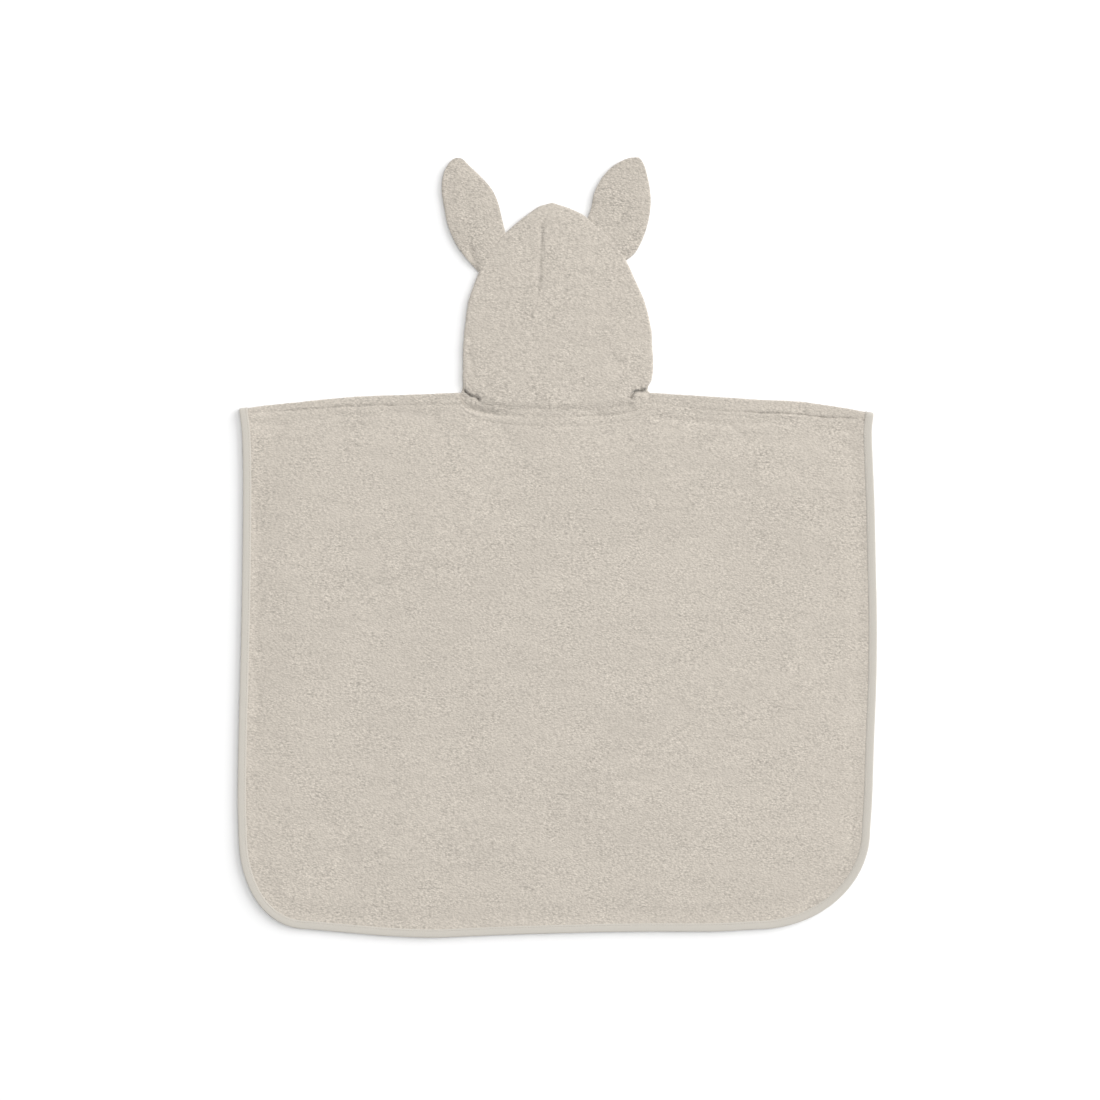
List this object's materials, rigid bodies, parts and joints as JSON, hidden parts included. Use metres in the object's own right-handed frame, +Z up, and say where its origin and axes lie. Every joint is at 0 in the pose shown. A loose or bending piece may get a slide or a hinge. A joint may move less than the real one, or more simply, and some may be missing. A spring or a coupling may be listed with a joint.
{
  "type": "hooded bath poncho",
  "caption": "Hooded terry bath poncho with animal ears, laid flat on its front: two panels joined at the shoulders, bound side edges and hem, and a hood of two halves.",
  "frame": {"origin": "bottom centre of the bounding box, on the surface that the poncho lies on", "axes": "+X across the width, towards the right as seen from above, +Y from the hem to the hood, +Z up"},
  "size_m": [0.7019, 0.8568, 0.0084],
  "materials": {
    "terry": "beige cotton terry towelling with short dense loops, matt",
    "ear_terry": "the same beige terry towelling, a touch darker on the ears, matt",
    "binding": "smooth cotton jersey binding, a little greyer than the terry, matt"
  },
  "bodies": {
    "root": {"back_panel": "terry", "front_panel": "terry", "hood_left": "terry", "hood_right": "terry", "ear_left_back": "ear_terry", "ear_left_front": "ear_terry", "ear_right_back": "ear_terry", "ear_right_front": "ear_terry", "edge_binding": "binding", "hood_binding": "binding"}
  },
  "joints": []
}
